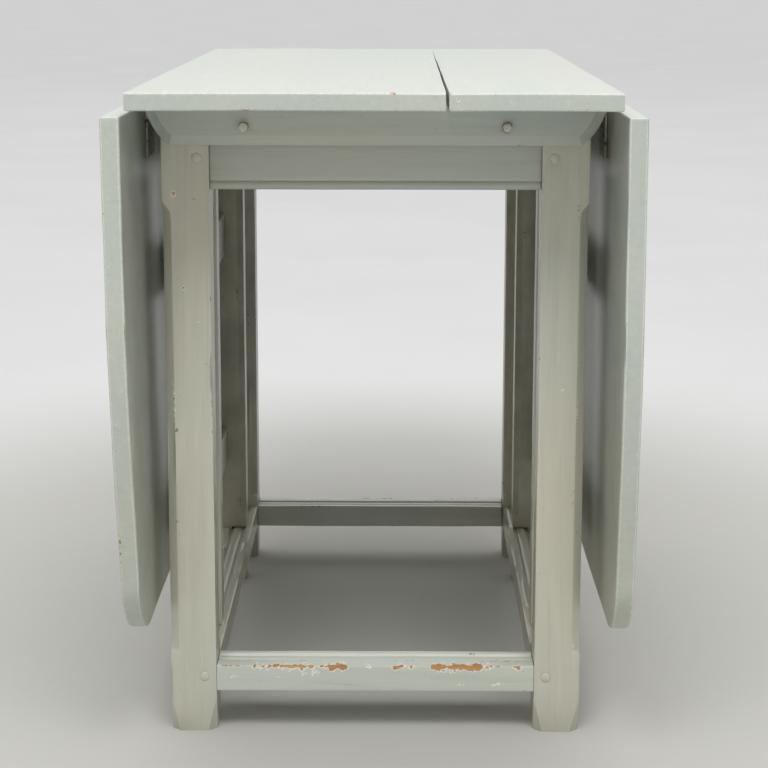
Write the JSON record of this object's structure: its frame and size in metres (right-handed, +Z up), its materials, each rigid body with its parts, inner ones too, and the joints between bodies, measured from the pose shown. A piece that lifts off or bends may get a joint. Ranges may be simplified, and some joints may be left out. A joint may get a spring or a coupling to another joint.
{
  "type": "gateleg table",
  "caption": "Gateleg table of painted wood with two drop leaves, each carried by a swinging gate pivoted in the frame.",
  "frame": {"origin": "on the floor under the middle of the closed table", "axes": "+Z up, Y along the table with the gate stiles near the -Y end, +X to the right seen from the -Y end"},
  "size_m": [0.556, 1.082, 0.74],
  "materials": {
    "painted_frame": "worn grey-green oil paint on pine, satin",
    "painted_top": "pale grey-green oil paint on pine boards, satin",
    "hinge_iron": "dark forged iron"
  },
  "bodies": {
    "frame": {"leg_front_left": "painted_frame", "rail_peg_front_left": "painted_frame", "stretcher_peg_front_left": "painted_frame", "cleat_peg_front_left": "painted_frame", "hinge_fixed_flap_front_left": "hinge_iron", "hinge_pin_front_left": "hinge_iron", "leg_rear_left": "painted_frame", "rail_peg_rear_left": "painted_frame", "stretcher_peg_rear_left": "painted_frame", "cleat_peg_rear_left": "painted_frame", "hinge_fixed_flap_rear_left": "hinge_iron", "hinge_pin_rear_left": "hinge_iron", "leg_front_right": "painted_frame", "rail_peg_front_right": "painted_frame", "stretcher_peg_front_right": "painted_frame", "cleat_peg_front_right": "painted_frame", "hinge_fixed_flap_front_right": "hinge_iron", "hinge_pin_front_right": "hinge_iron", "leg_rear_right": "painted_frame", "rail_peg_rear_right": "painted_frame", "stretcher_peg_rear_right": "painted_frame", "cleat_peg_rear_right": "painted_frame", "hinge_fixed_flap_rear_right": "hinge_iron", "hinge_pin_rear_right": "hinge_iron", "side_rail_left": "painted_frame", "side_rail_right": "painted_frame", "side_stretcher_left": "painted_frame", "side_stretcher_right": "painted_frame", "end_rail_front": "painted_frame", "end_rail_rear": "painted_frame", "end_stretcher_front": "painted_frame", "end_stretcher_rear": "painted_frame", "cleat_front": "painted_frame", "cleat_rear": "painted_frame", "top_board_wide": "painted_top", "top_board_narrow": "painted_top"},
    "leaf_left": {"leaf_left": "painted_top", "hinge_leaf_flap_front_left": "hinge_iron", "hinge_leaf_flap_rear_left": "hinge_iron"},
    "gate_left": {"gate_stile_left": "painted_frame", "gate_leg_left": "painted_frame", "gate_upper_rail_left": "painted_frame", "gate_lower_rail_left": "painted_frame", "gate_peg_upper_stile_left": "painted_frame", "gate_peg_upper_leg_left": "painted_frame", "gate_peg_lower_stile_left": "painted_frame", "gate_peg_lower_leg_left": "painted_frame"},
    "leaf_right": {"leaf_right": "painted_top", "hinge_leaf_flap_front_right": "hinge_iron", "hinge_leaf_flap_rear_right": "hinge_iron"},
    "gate_right": {"gate_stile_right": "painted_frame", "gate_leg_right": "painted_frame", "gate_upper_rail_right": "painted_frame", "gate_lower_rail_right": "painted_frame", "gate_peg_upper_stile_right": "painted_frame", "gate_peg_upper_leg_right": "painted_frame", "gate_peg_lower_stile_right": "painted_frame", "gate_peg_lower_leg_right": "painted_frame"}
  },
  "joints": [
    {"name": "leaf_left_hinge", "type": "hinge", "parent": "frame", "child": "leaf_left", "pos_m": [-0.253, 0, 0.716], "axis": [0, 1, 0], "range_deg": [0, 90]},
    {"name": "leaf_right_hinge", "type": "hinge", "parent": "frame", "child": "leaf_right", "pos_m": [0.253, 0, 0.716], "axis": [0, -1, 0], "range_deg": [0, 90]},
    {"name": "gate_left_pivot", "type": "hinge", "parent": "frame", "child": "gate_left", "pos_m": [-0.197, -0.218, 0.35], "axis": [0, 0, 1], "range_deg": [0, 2]},
    {"name": "gate_right_pivot", "type": "hinge", "parent": "frame", "child": "gate_right", "pos_m": [0.197, -0.218, 0.35], "axis": [0, 0, -1], "range_deg": [0, 2]}
  ]
}
